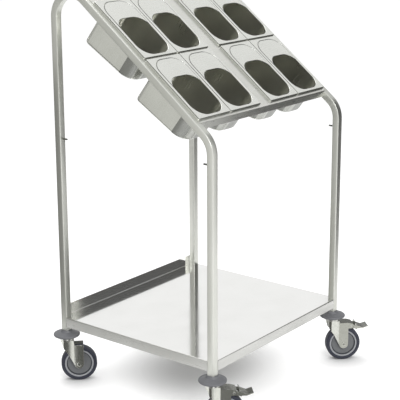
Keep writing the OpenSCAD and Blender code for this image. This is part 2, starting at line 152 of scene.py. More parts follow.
def mirrored(half: Sequence[Point3]) -> list[Point3]:
    """A turned outline's corners from those below its middle, as radius, height and rounding."""
    return [*half, *((radius, -height, soft) for radius, height, soft in reversed(half))]


def fillet(corners: Sequence[Point3], steps: int) -> list[Point2]:
    """Rounds the corners of a closed outline.

    Args:
        corners: Each corner as x, y and its radius.
        steps: Segments in each rounded corner.

    Returns:
        The outline's points in the same order.
    """
    points: list[Point2] = []
    count = len(corners)
    for k, (x, y, radius) in enumerate(corners):
        here = Vector((x, y))
        back = Vector(corners[k - 1][:2]) - here
        ahead = Vector(corners[(k + 1) % count][:2]) - here
        if radius <= 0:
            points.append((x, y))
            continue
        one, two = back.normalized(), ahead.normalized()
        half = one.angle(two) / 2
        run = min(radius / math.tan(half), CORNER_SHARE * back.length,
                  CORNER_SHARE * ahead.length)
        radius = run * math.tan(half)
        centre = here + (one + two).normalized() * radius / math.sin(half)
        start, end = here + one * run - centre, here + two * run - centre
        turn = math.atan2(start.x * end.y - start.y * end.x, start.dot(end))
        for step in range(steps + 1):
            ray = start.copy()
            ray.rotate(Matrix.Rotation(turn * step / steps, 2))
            points.append((centre.x + ray.x, centre.y + ray.y))
    return points


def mesh_object(name: str, points: Sequence[Point3], faces: Sequence[Sequence[int]],
                place: Matrix | None = None) -> Piece:
    """Makes an object from points in millimetres, with its faces turned outwards.

    Args:
        name: The piece's name.
        points: Its corners in millimetres, in its own frame.
        faces: Corner numbers of each face.
        place: Turns its own frame into the trolley's frame, in millimetres.

    Returns:
        The object, at the origin, with its place in its mesh.
    """
    place = place or Matrix()
    mesh = bpy.data.meshes.new(name)
    mesh.from_pydata([(place @ Vector(p)) * MM for p in points], [], faces)
    piece = put(name, mesh)
    outwards(piece)
    return piece


def outwards(piece: Piece) -> None:
    """Turns the faces of a closed piece outwards.

    Args:
        piece: The object whose mesh is turned.
    """
    made = bmesh.new()
    made.from_mesh(piece.data)
    bmesh.ops.recalc_face_normals(made, faces=made.faces)
    made.to_mesh(piece.data)
    made.free()


def shade(piece: Piece, angle: float) -> None:
    """Shades a piece smoothly, with the edges above an angle in degrees left sharp."""
    piece.data.shade_smooth()
    piece.data.set_sharp_from_angle(angle=math.radians(angle))


def settle(piece: Piece) -> Piece:
    """Turns a piece with its modifiers into a plain mesh.

    Args:
        piece: The object with live modifiers.

    Returns:
        The same object, with the result as its mesh.
    """
    graph = bpy.context.evaluated_depsgraph_get()
    graph.update()
    result = bpy.data.meshes.new_from_object(
        piece.evaluated_get(graph), preserve_all_data_layers=True, depsgraph=graph)
    piece.modifiers.clear()
    piece.data = result
    result.name = piece.name
    return piece


def ease_edges(piece: Piece, width: float, angle: float, material: int = -1) -> Piece:
    """Breaks the sharp edges of a piece and evens out its shading.

    Args:
        piece: The object to finish.
        width: Width of the broken edges in millimetres.
        angle: Edges that turn by more than this many degrees are broken.
        material: Number of the broken edges' own material, or -1 for their faces' own.

    Returns:
        The same object as a plain mesh.
    """
    bevel = piece.modifiers.new("broken_edges", "BEVEL")
    bevel.width = width * MM
    bevel.segments = 2
    bevel.limit_method = "ANGLE"
    bevel.angle_limit = math.radians(angle)
    bevel.miter_outer = "MITER_ARC"
    bevel.material = material
    even = piece.modifiers.new("even_shading", "WEIGHTED_NORMAL")
    even.keep_sharp = True
    even.weight = 60
    return settle(piece)


def from_node(node: str, name: str, width: float) -> Piece:
    """Makes a finished copy of a solid: merged, with flat faces whole and edges broken.

    Args:
        node: The solid's node.
        name: The new piece's name.
        width: Width of the broken edges in millimetres.

    Returns:
        The new object.
    """
    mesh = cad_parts[node].data.copy()
    mesh.name = name
    mesh.materials.clear()
    made = bmesh.new()
    made.from_mesh(mesh)
    bmesh.ops.remove_doubles(made, verts=made.verts, dist=MERGE)
    bmesh.ops.dissolve_degenerate(made, edges=made.edges, dist=MERGE / 2)
    bmesh.ops.dissolve_limit(made, angle_limit=math.radians(FLAT_TURN), verts=made.verts,
                             edges=made.edges, use_dissolve_boundaries=False)
    bmesh.ops.recalc_face_normals(made, faces=made.faces)
    made.to_mesh(mesh)
    made.free()
    piece = put(name, mesh)
    shade(piece, EDGE_TURN)
    return ease_edges(piece, width, EDGE_TURN)


def lathe(name: str, outline: Sequence[Point2], place: Matrix, segments: int) -> Piece:
    """Turns a closed outline round the local z axis.

    Args:
        name: The piece's name.
        outline: Closed outline as radius and height, clear of the axis or with points on it.
        place: Turns the local frame into the trolley's frame, in millimetres.
        segments: Steps round the axis.

    Returns:
        The turned object.
    """
    points: list[Point3] = []
    rings: list[list[int]] = []
    for radius, height in outline:
        if radius < ON_AXIS:
            rings.append([len(points)] * segments)
            points.append((0.0, 0.0, height))
            continue
        rings.append(list(range(len(points), len(points) + segments)))
        for step in range(segments):
            turn = math.tau * step / segments
            points.append((radius * math.cos(turn), radius * math.sin(turn), height))
    faces = []
    for one, two in zip(rings, rings[1:] + rings[:1]):
        for step in range(segments):
            after = (step + 1) % segments
            corners = list(dict.fromkeys((one[step], one[after], two[after], two[step])))
            if len(corners) > 2:
                faces.append(corners)
    return mesh_object(name, points, faces, place)


def fit(piece: Piece, body: str, slot: str, *nodes: str,
        finish: Material | None = None) -> None:
    """Seats a finished piece: its finish, its body and the nodes it stands for.

    Args:
        piece: The finished object.
        body: The body that it rides on.
        slot: The record's material slot; not used.
        nodes: The solids that it replaces.
        finish: Its one material, where it hasn't got its materials yet.
    """
    if finish is not None:
        piece.data.materials.clear()
        piece.data.materials.append(finish)
    if nodes:
        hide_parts(*nodes)
    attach(piece, body)
    LOG.info("%s rides on %s, %d faces", piece.name, body, len(piece.data.polygons))


# Places


@dataclass(frozen=True)
class Layout:
    """Sizes that several pieces share, in millimetres and degrees."""

    width: float = 717.0
    depth: float = 639.0
    tube: float = 25.0
    bend_radius: float = 80.0
    post_end: float = 187.0
    front_corner: float = 935.5
    slope: float = 38.0
    castor_angle: float = -45.0

    def rear_corner(self) -> float:
        """Height where slope and rear post would meet."""
        return self.front_corner + self.depth * math.tan(math.radians(self.slope))

    def on_slope(self, x: float, along: float) -> Matrix:
        """Frame of a place on the rack's plane.

        Args:
            x: Way across from the middle in millimetres.
            along: Way up the slope from its front corner in millimetres.

        Returns:
            The frame in millimetres, with x across, y up the slope and z out.
        """
        tilt = math.radians(self.slope)
        base = self.front_corner + self.tube / 2 / math.cos(tilt)
        origin = Vector((x, -self.depth / 2 + along * math.cos(tilt),
                         base + along * math.sin(tilt)))
        return Matrix.Translation(origin) @ Matrix.Rotation(tilt, 4, "X")


LAYOUT = Layout()


class Corner(Enum):
    """The four posts, each with its side and its end of the frame."""

    FRONT_LEFT = (-1, -1)
    FRONT_RIGHT = (1, -1)
    REAR_LEFT = (-1, 1)
    REAR_RIGHT = (1, 1)

    def label(self) -> str:
        """The corner's name in lower case."""
        return self.name.lower()

    def braked(self) -> bool:
        """Whether the castor at this corner has a brake."""
        return self.value[1] < 0

    def castor_frame(self) -> Matrix:
        """Frame on the floor under the post.

        Returns:
            The frame in millimetres, with x along the trail and z up.
        """
        side, end = self.value
        origin = Vector((side * LAYOUT.width / 2, end * LAYOUT.depth / 2, 0))
        turn = Matrix.Rotation(math.radians(LAYOUT.castor_angle), 4, "Z")
        return Matrix.Translation(origin) @ turn


# Finishes


class Follow(Enum):
    """What a pattern follows, as its turn in degrees or as the name of a grain."""

    ROOM = 0.0
    SLOPE = -LAYOUT.slope
    GRAIN = "grain"


@dataclass(frozen=True)
class Pattern:
    """One layer of relief and tone.

    Attributes:
        size: Length of its features along x, y and z in millimetres, or one for all.
        tone: How much of the second colour it mixes in, from 0 to 1.
        gloss: How far it moves the roughness up and down.
        relief: Height in millimetres.
        detail: Finer steps in it.
    """

    size: Point3 | float
    tone: float = 0.0
    gloss: float = 0.0
    relief: float = 0.0
    detail: float = 2.0

    def scale(self) -> Point3:
        """Its scale along x, y and z."""
        sizes = self.size if isinstance(self.size, tuple) else (self.size,) * 3
        return tuple(1 / (MM * size) for size in sizes)


@dataclass(frozen=True)
class Finish:
    """One real finish, made of a base shader and layers of relief and tone.

    Attributes:
        name: The real material and how its surface was made.
        colour: Main sRGB colour.
        second: The sRGB colour that the layers mix in.
        roughness: Middle roughness.
        metallic: 1 for bare metal.
        layers: Its patterns, the finest first.
        follow: What the patterns follow.
    """

    name: str
    colour: str
    second: str
    roughness: float
    metallic: float
    layers: tuple[Pattern, ...]
    follow: Follow = Follow.ROOM

    def vector(self, tree: Tree) -> bpy.types.NodeSocket:
        """Adds the coordinates that the layers read.

        Args:
            tree: The material's node tree.

        Returns:
            The socket that gives them.
        """
        if self.follow is Follow.GRAIN:
            made = add_node(tree, "ShaderNodeAttribute", {"attribute_name": Follow.GRAIN.value})
        else:
            spot = add_node(tree, "ShaderNodeTexCoord")
            made = add_node(tree, "ShaderNodeMapping", {
                "Rotation": (math.radians(self.follow.value), 0, 0)},
                {"Vector": spot.outputs["Object"]})
        return made.outputs["Vector"]

    def build(self) -> Material:
        """Makes the material.

        Returns:
            The material with its nodes linked.
        """
        made = bpy.data.materials.new(self.name)
        tree = emptied(made)
        where = self.vector(tree)
        colour = rough = normal = None
        spread = {"From Min": NOISE_LOW, "From Max": NOISE_HIGH}
        for layer in self.layers:
            scaled = add_node(tree, "ShaderNodeVectorMath", {
                "operation": "MULTIPLY", 1: layer.scale()}, {0: where})
            noise = add_node(tree, "ShaderNodeTexNoise", {
                "Scale": 1.0, "Detail": layer.detail, "Roughness": NOISE_ROUGHNESS},
                {"Vector": scaled})
            if layer.tone:
                share = add_node(tree, "ShaderNodeMapRange", spread | {"To Max": layer.tone},
                                 {"Value": noise})
                mix = add_node(tree, "ShaderNodeMix", {
                    "data_type": "RGBA", 6: linear(self.colour), 7: linear(self.second)},
                    {0: share, 6: colour})
                colour = mix.outputs[2]
            if layer.gloss:
                wave = add_node(tree, "ShaderNodeMapRange", spread | {
                    "To Min": -layer.gloss, "To Max": layer.gloss}, {"Value": noise})
                rough = add_node(tree, "ShaderNodeMath", {"operation": "ADD", 1: self.roughness},
                                 {0: wave, 1: rough})
            if layer.relief:
                normal = add_node(tree, "ShaderNodeBump", {
                    "Strength": 1.0, "Distance": layer.relief * MM},
                    {"Height": noise, "Normal": normal})
        shader = add_node(tree, "ShaderNodeBsdfPrincipled", {
            "Base Color": linear(self.colour), "Roughness": self.roughness,
            "Metallic": self.metallic},
            {"Base Color": colour, "Roughness": rough, "Normal": normal})
        add_node(tree, "ShaderNodeOutputMaterial", None, {"Surface": shader})
        return made


# The tones below are matched to the photograph. Where a comment gives a tone a cause, that cause
# is a guess, and the tone may partly be what the real surface mirrors; tones that are painted
# shade, highlight or reflection are named so.

# Stainless tube, satin ground along its length: even and light, with fine scratches that
# blur what it mirrors. Real scratches are 0.1 mm wide and are drawn at 0.8 mm to show.
SATIN_TUBE = Finish(
    "stainless_tube_satin_ground", "#d1d2cc", "#bebfb8", 0.36, 1.0,
    (Pattern((0.8, 0.8, 70.0), 0.5, 0.06, 0.004), Pattern((60.0, 60.0, 260.0), 0.35, 0.03)),
    Follow.GRAIN)
# Stainless sheet, rolled and lightly ground across the rack: a soft sheen with faint lines.
RACK_SHEET = Finish(
    "stainless_sheet_satin_ground", "#dadad5", "#c6c7c1", 0.3, 1.0,
    (Pattern((80.0, 0.9, 0.9), 0.4, 0.05, 0.003), Pattern((120.0, 90.0, 90.0), 0.3, 0.03)),
    Follow.SLOPE)
# Stainless sheet, bright rolled: almost a mirror, with the slow waves of thin sheet.
SHELF_SHEET = Finish(
    "stainless_sheet_bright_rolled", "#efefed", "#e2e2df", 0.1, 1.0,
    (Pattern((1.1, 60.0, 60.0), 0.2, 0.02), Pattern((140.0, 110.0, 110.0), 0.25, 0.02, 0.05, 1.0)))
# Stainless sheet, folded: duller aprons, whose darker tone is a painted reflection of the shaded
# floor.
SHELF_APRON_DARK_REFLECTION = Finish(
    "stainless_sheet_folded_edge", "#c8c8c5", "#b6b6b2", 0.3, 1.0,
    (Pattern((60.0, 60.0, 0.9), 0.35, 0.04, 0.003), Pattern((160.0, 160.0, 40.0), 0.4, 0.04)))
# Stainless, deep-drawn: bright on the flange, where the die ironed it, with faint draw marks.
PAN_FLANGE = Finish(
    "stainless_deep_drawn_flange", "#dedfda", "#cbccc6", 0.24, 1.0,
    (Pattern((1.0, 50.0, 1.0), 0.35, 0.04, 0.002), Pattern(70.0, 0.3, 0.03)), Follow.SLOPE)
# Stainless, trimmed and turned down: the flange's rolled edge is a little rougher, and its
# dark tone is painted shade, so each container has a thin dark outline.
PAN_RIM_SHADE = Finish(
    "stainless_turned_down_edge", "#72736d", "#5c5d57", 0.34, 1.0,
    (Pattern(0.9, 0.3, 0.05, 0.002), Pattern(40.0, 0.4, 0.04)), Follow.SLOPE)
# Stainless, sheared: the cover's edge band is rougher, and its dark tone is painted shade from the
# gap round it.
LID_EDGE_SHADE = Finish(
    "stainless_cover_edge_painted_shade", "#5f605b", "#4e4f4a", 0.42, 1.0,
    (Pattern(0.8, 0.4, 0.06, 0.003), Pattern(20.0, 0.3, 0.04)), Follow.SLOPE)
# Stainless, deep-drawn: inside the well the drawn wall is dull and mirrors itself, so it
# reads as dark olive grey, with light streaks down the draw.
PAN_WELL = Finish(
    "stainless_deep_drawn_well", "#cacac3", "#d8d8d1", 0.3, 1.0,
    (Pattern((3.0, 3.0, 90.0), 0.1, 0.015), Pattern((60.0, 90.0, 130.0), 0.4, 0.02, 0.0, 1.0)),
    Follow.SLOPE)
# Stainless, deep-drawn: outside, the die leaves long soft draw marks down the walls.
PAN_OUTSIDE = Finish(
    "stainless_deep_drawn_outside", "#d8d9d3", "#c6c7c0", 0.22, 1.0,
    (Pattern((1.6, 1.6, 80.0), 0.2, 0.03, 0.001), Pattern((60.0, 60.0, 90.0), 0.3, 0.03)),
    Follow.SLOPE)
# Stainless, deep-drawn: the outside of the shallow end's corners is dull grey, which is painted
# shade.
PAN_CORNER_SHADE = Finish(
    "stainless_deep_drawn_corner", "#8e8f8b", "#80817d", 0.3, 1.0,
    (Pattern((1.6, 1.6, 60.0), 0.3, 0.04, 0.002), Pattern(30.0, 0.3, 0.03)), Follow.SLOPE)
# Stainless, deep-drawn: one strip beside the shallow end's front is lighter, a painted highlight.
PAN_FRONT_HIGHLIGHT = Finish(
    "stainless_deep_drawn_front", "#b2b3ae", "#a4a5a0", 0.24, 1.0,
    (Pattern((1.6, 1.6, 60.0), 0.3, 0.03, 0.001), Pattern(30.0, 0.3, 0.03)), Follow.SLOPE)
# Stainless sheet, blanked and pressed: the covers are flat and evenly satin.
LID_SHEET = Finish(
    "stainless_sheet_blanked", "#dcddd8", "#cccdc7", 0.27, 1.0,
    (Pattern((50.0, 0.9, 0.9), 0.35, 0.05, 0.002), Pattern(60.0, 0.25, 0.02)), Follow.SLOPE)
# Steel, pressed and zinc plated: a warm light grey, bright enough to mirror what is near,
# with a little mottling of the plating.
PRESSED_STEEL = Finish(
    "steel_pressed_zinc_plated", "#cfd0c9", "#b9bab2", 0.17, 1.0,
    (Pattern(1.4, 0.4, 0.04, 0.002), Pattern(16.0, 0.35, 0.03, 0.008)))
# Steel, pressed and zinc plated: rougher tops, dark with a painted reflection of the shelf's
# shaded underside.
STEEL_TOP_DARK_REFLECTION = Finish(
    "steel_pressed_scuffed_by_shoes", "#7e7f7a", "#6a6b66", 0.26, 1.0,
    (Pattern((1.0, 8.0, 1.0), 0.4, 0.06, 0.003), Pattern(14.0, 0.4, 0.05, 0.01)))
# Steel, pressed: between the legs the plating is duller, and its darker tone is painted shade.
STEEL_INSIDE_SHADE = Finish(
    "steel_pressed_inside_painted_shade", "#9a9b96", "#878882", 0.5, 0.3,
    (Pattern(1.4, 0.4, 0.05, 0.004), Pattern(14.0, 0.4, 0.05)))
# Steel, turned bright: fine rings from the tool show as a changing gloss.
TURNED_STEEL = Finish(
    "steel_turned_bright", "#d6d6d2", "#bdbdb8", 0.26, 1.0,
    (Pattern((1.0, 1.0, 0.8), 0.4, 0.08, 0.004), Pattern(10.0, 0.25, 0.04)))
# Steel, turned: dark grey all over.
PIN_STEEL = Finish(
    "steel_turned_dark_grey", "#6f706c", "#5c5d59", 0.34, 1.0,
    (Pattern((1.0, 1.0, 0.8), 0.4, 0.06, 0.004), Pattern(8.0, 0.4, 0.05)))
# Polypropylene, moulded: mid grey with the fine grain of the mould and a dull sheen.
BUMPER_PLASTIC = Finish(
    "polypropylene_moulded_grey", "#7a7b7f", "#6b6c70", 0.5, 0.0,
    (Pattern(1.2, 0.4, 0.06, 0.02), Pattern(24.0, 0.4, 0.05, 0.05)))
# Polyamide, moulded: the wheel centre is a lighter grey than the bumper, a little smoother.
WHEEL_PLASTIC = Finish(
    "polyamide_moulded_grey", "#7c7e80", "#6e7073", 0.5, 0.0,
    (Pattern(1.2, 0.35, 0.05, 0.015), Pattern(18.0, 0.4, 0.05, 0.03)))
# Polyamide, moulded: the rim's face is rubbed smooth by trimming the tyre, so it is lighter.
WHEEL_RIM = Finish(
    "polyamide_trimmed_rim", "#b4b6ba", "#a4a6aa", 0.4, 0.0,
    (Pattern(1.0, 0.3, 0.04, 0.008), Pattern(18.0, 0.35, 0.04)))
# Polyamide in the step between rim and web, whose dark tone is painted shade.
WHEEL_STEP_SHADE = Finish(
    "polyamide_step_painted_shade", "#4b4d52", "#3e4045", 0.6, 0.0,
    (Pattern(1.4, 0.4, 0.05, 0.01), Pattern(12.0, 0.4, 0.05)))
# Elastic rubber, moulded: a dark blue grey tread, matt, with a trace of floor dust.
TYRE_RUBBER = Finish(
    "elastic_rubber_moulded", "#30323f", "#40434f", 0.62, 0.0,
    (Pattern(0.9, 0.3, 0.05, 0.02), Pattern(16.0, 0.5, 0.08)))


@dataclass
class Workshop:
    """The materials, each built once and handed to every piece that needs it."""

    made: dict[str, Material] = field(default_factory=dict)

    def get(self, finish: Finish) -> Material:
        """Gives a finish's material, which is built the first time.

        Args:
            finish: The finish.

        Returns:
            Its material.
        """
        if finish.name not in self.made:
            self.made[finish.name] = finish.build()
        return self.made[finish.name]

    def dress(self, piece: Piece, *finishes: Finish) -> None:
        """Adds the materials of some finishes to a piece, in their order."""
        for finish in finishes:
            piece.data.materials.append(self.get(finish))


# Geometry node trees


@dataclass
class Recipe:
    """A geometry node tree with named inputs that turns one object into a plain mesh.

    Attributes:
        name: The tree's name.
        inputs: Name and value of each size input.
        tree: The tree itself.
        given: The sockets of its inputs, by name.
    """

    name: str
    inputs: dict[str, float]
    tree: Tree = field(init=False)
    given: bpy.types.bpy_prop_collection = field(init=False)

    def __post_init__(self) -> None:
        """Makes the tree with its sockets."""
        self.tree = bpy.data.node_groups.new(self.name, "GeometryNodeTree")
        sockets = self.tree.interface
        sockets.new_socket("Geometry", in_out="INPUT", socket_type="NodeSocketGeometry")
        for name, value in self.inputs.items():
            kind = "NodeSocketInt" if isinstance(value, int) else "NodeSocketFloat"
            sockets.new_socket(name, in_out="INPUT", socket_type=kind)
        sockets.new_socket("Geometry", in_out="OUTPUT", socket_type="NodeSocketGeometry")
        self.given = add_node(self.tree, "NodeGroupInput").outputs

    def finish(self, last: Node, material: Material) -> None:
        """Ends the tree in a plain mesh with its material.

        Args:
            last: The node that makes the geometry.
            material: The material of all of it.
        """
        real = add_node(self.tree, "GeometryNodeRealizeInstances", None, {"Geometry": last})
        dressed = add_node(self.tree, "GeometryNodeSetMaterial", {"Material": material},
                           {"Geometry": real})
        add_node(self.tree, "NodeGroupOutput", None, {"Geometry": dressed})

    def run(self, piece: Piece) -> None:
        """Puts the tree on a piece, sets its inputs and leaves a plain mesh.

        Args:
            piece: The object that the tree starts from.
        """
        modifier = piece.modifiers.new(self.name, "NODES")
        modifier.node_group = self.tree
        for item in self.tree.interface.items_tree:
            if item.in_out == "INPUT" and item.name in self.inputs:
                modifier[item.identifier] = self.inputs[item.name]
        settle(piece)


# Sub-assemblies


@dataclass
class SideFrames:
    """The two bent tube sides, each one square tube swept along posts, slope and bends."""

    workshop: Workshop
    corner_radius: float = 3.0
    bend_steps: int = 40
    corner_steps: int = 5

    def recipe(self) -> Recipe:
        """Makes the tree that rounds the path and sweeps the tube's outline along it.

        Returns:
            The recipe, which turns a path into a tube with its grain.
        """
        made = Recipe("bent_tube", {
            "Tube Size": LAYOUT.tube * MM, "Corner Radius": self.corner_radius * MM,
            "Bend Radius": LAYOUT.bend_radius * MM, "Bend Steps": self.bend_steps})
        tree, given = made.tree, made.given
        path = add_node(tree, "GeometryNodeMeshToCurve", None, {"Mesh": given["Geometry"]})
        bent = add_node(tree, "GeometryNodeFilletCurve", {"mode": "POLY"}, {
            "Curve": path, "Count": given["Bend Steps"], "Radius": given["Bend Radius"]})
        outline = add_node(tree, "GeometryNodeCurvePrimitiveQuadrilateral", None, {
            "Width": given["Tube Size"], "Height": given["Tube Size"]})
        soft = add_node(tree, "GeometryNodeFilletCurve", {
            "mode": "POLY", "Count": self.corner_steps},
            {"Curve": outline, "Radius": given["Corner Radius"]})
        length = add_node(tree, "GeometryNodeSplineParameter")
        spot = add_node(tree, "GeometryNodeInputPosition")
        along = add_node(tree, "GeometryNodeCaptureAttribute", None, {"Geometry": bent})
        along.capture_items.new("FLOAT", "Along")
        tree.links.new(length.outputs["Length"], along.inputs["Along"])
        across = add_node(tree, "GeometryNodeCaptureAttribute", None, {"Geometry": soft})
        across.capture_items.new("VECTOR", "Across")
        tree.links.new(spot.outputs["Position"], across.inputs["Across"])
        swept = add_node(tree, "GeometryNodeCurveToMesh", {"Fill Caps": True}, {
            "Curve": along, "Profile Curve": across})
        parts = add_node(tree, "ShaderNodeSeparateXYZ", None, {"Vector": across.outputs["Across"]})
        grain = add_node(tree, "ShaderNodeCombineXYZ", None, {
            "X": parts.outputs["X"], "Y": parts.outputs["Y"], "Z": along.outputs["Along"]})
        kept = add_node(tree, "GeometryNodeStoreNamedAttribute", {
            "data_type": "FLOAT_VECTOR", "domain": "POINT", "Name": Follow.GRAIN.value},
            {"Geometry": swept, "Value": grain})
        made.finish(kept, self.workshop.get(SATIN_TUBE))
        return made

    def build(self) -> None:
        """Sweeps both sides."""
        recipe = self.recipe()
        front, rear = -LAYOUT.depth / 2, LAYOUT.depth / 2
        for name, side in (("left", -1), ("right", 1)):
            x = side * LAYOUT.width / 2
            path = [(x, front, LAYOUT.post_end), (x, front, LAYOUT.front_corner),
                    (x, rear, LAYOUT.rear_corner()), (x, rear, LAYOUT.post_end)]
            mesh = bpy.data.meshes.new("tube_" + name)
            mesh.from_pydata([Vector(p) * MM for p in path], [(0, 1), (1, 2), (2, 3)], [])
            piece = put("tube_" + name, mesh)
            recipe.run(piece)
            outwards(piece)
            shade(piece, SWEPT_TURN)
            fit(piece, "frame", "satin_steel", "side_frame_" + name)


@dataclass
class StopPins:
    """The short pins welded to the posts' facing sides, one shape set out on a grid.

    Attributes:
        height: Height of a pin's middle above the floor, in millimetres.
        edge: Rounding of a pin's end.
        steps: Steps round a pin.
    """

    workshop: Workshop
    radius: float = 3.0
    length: float = 20.0
    height: float = 868.0
    edge: float = 0.8
    steps: int = 32

    def build(self) -> None:
        """Turns one pin and sets it out at the four posts."""
        outline = [(0, 0, 0), (self.radius, 0, 0), (self.radius, self.length, self.edge),
                   (0, self.length, 0)]
        pin = lathe("stop_pins", fillet(outline, 4), Matrix(), self.steps)
        shade(pin, DRAWN_TURN)
        recipe = Recipe("pins_at_posts", {
            "Across": LAYOUT.width * MM, "Along": (LAYOUT.depth - LAYOUT.tube) * MM,
            "Height": self.height * MM, "Each Way": 2})
        tree, given = recipe.tree, recipe.given
        grid = add_node(tree, "GeometryNodeMeshGrid", None, {
            "Size X": given["Across"], "Size Y": given["Along"],
            "Vertices X": given["Each Way"], "Vertices Y": given["Each Way"]})
        lift = add_node(tree, "ShaderNodeCombineXYZ", None, {"Z": given["Height"]})
        level = add_node(tree, "GeometryNodeTransform", None, {
            "Geometry": grid, "Translation": lift})
        spot = add_node(tree, "GeometryNodeInputPosition")
        inward = add_node(tree, "ShaderNodeVectorMath", {"operation": "MULTIPLY", 1: (0, -1, 0)},
                          {0: spot})
        aim = add_node(tree, "FunctionNodeAlignRotationToVector", {"axis": "Z"},
                       {"Vector": inward})
        pins = add_node(tree, "GeometryNodeInstanceOnPoints", None, {
            "Points": level, "Instance": given["Geometry"], "Rotation": aim})
        recipe.finish(pins, self.workshop.get(PIN_STEEL))
        recipe.run(pin)
        nodes = [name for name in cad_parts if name.startswith("stop_pin")]
        fit(pin, "frame", "bright_steel", *nodes)


@dataclass
class SheetWork:
    """The rack's sheet and the tray shelf, each one folded sheet with broken edges."""

    workshop: Workshop
    edge: float = 0.35
    outward: float = 0.1

    def build(self) -> None:
        """Finishes both sheets, with the darker painted reflection on the shelf's outer faces, its
        aprons.
        """
        rack = from_node("rack_panel", "rack_sheet", self.edge)
        fit(rack, "frame", "satin_steel", "rack_panel", finish=self.workshop.get(RACK_SHEET))
        shelf = from_node("tray_shelf", "shelf_sheet", self.edge)
        self.workshop.dress(shelf, SHELF_SHEET, SHELF_APRON_DARK_REFLECTION)
        # The shelf's outward faces, its aprons, get the darker painted reflection.
        for face in shelf.data.polygons:
            outward = face.normal.x * face.center.x + face.normal.y * face.center.y
            face.material_index = int(outward > self.outward)
        fit(shelf, "frame", "polished_steel", "tray_shelf")


class PanFace(Enum):
    """Places of a container's sheet, each with the finish of its upper and lower face."""

    FLANGE = (PAN_FLANGE, PAN_OUTSIDE)
    WELL = (PAN_WELL, PAN_OUTSIDE)
    # The rim's dark upper face is painted shade.
    RIM = (PAN_RIM_SHADE, PAN_OUTSIDE)
    # CORNER is painted shade and FRONT a painted highlight, both on the outside of the lower end.
    CORNER = (PAN_WELL, PAN_CORNER_SHADE)
    FRONT = (PAN_WELL, PAN_FRONT_HIGHLIGHT)

    def number(self) -> int:
        """Material number of its upper face; its lower face has the next."""
        return 2 * list(PanFace).index(self)


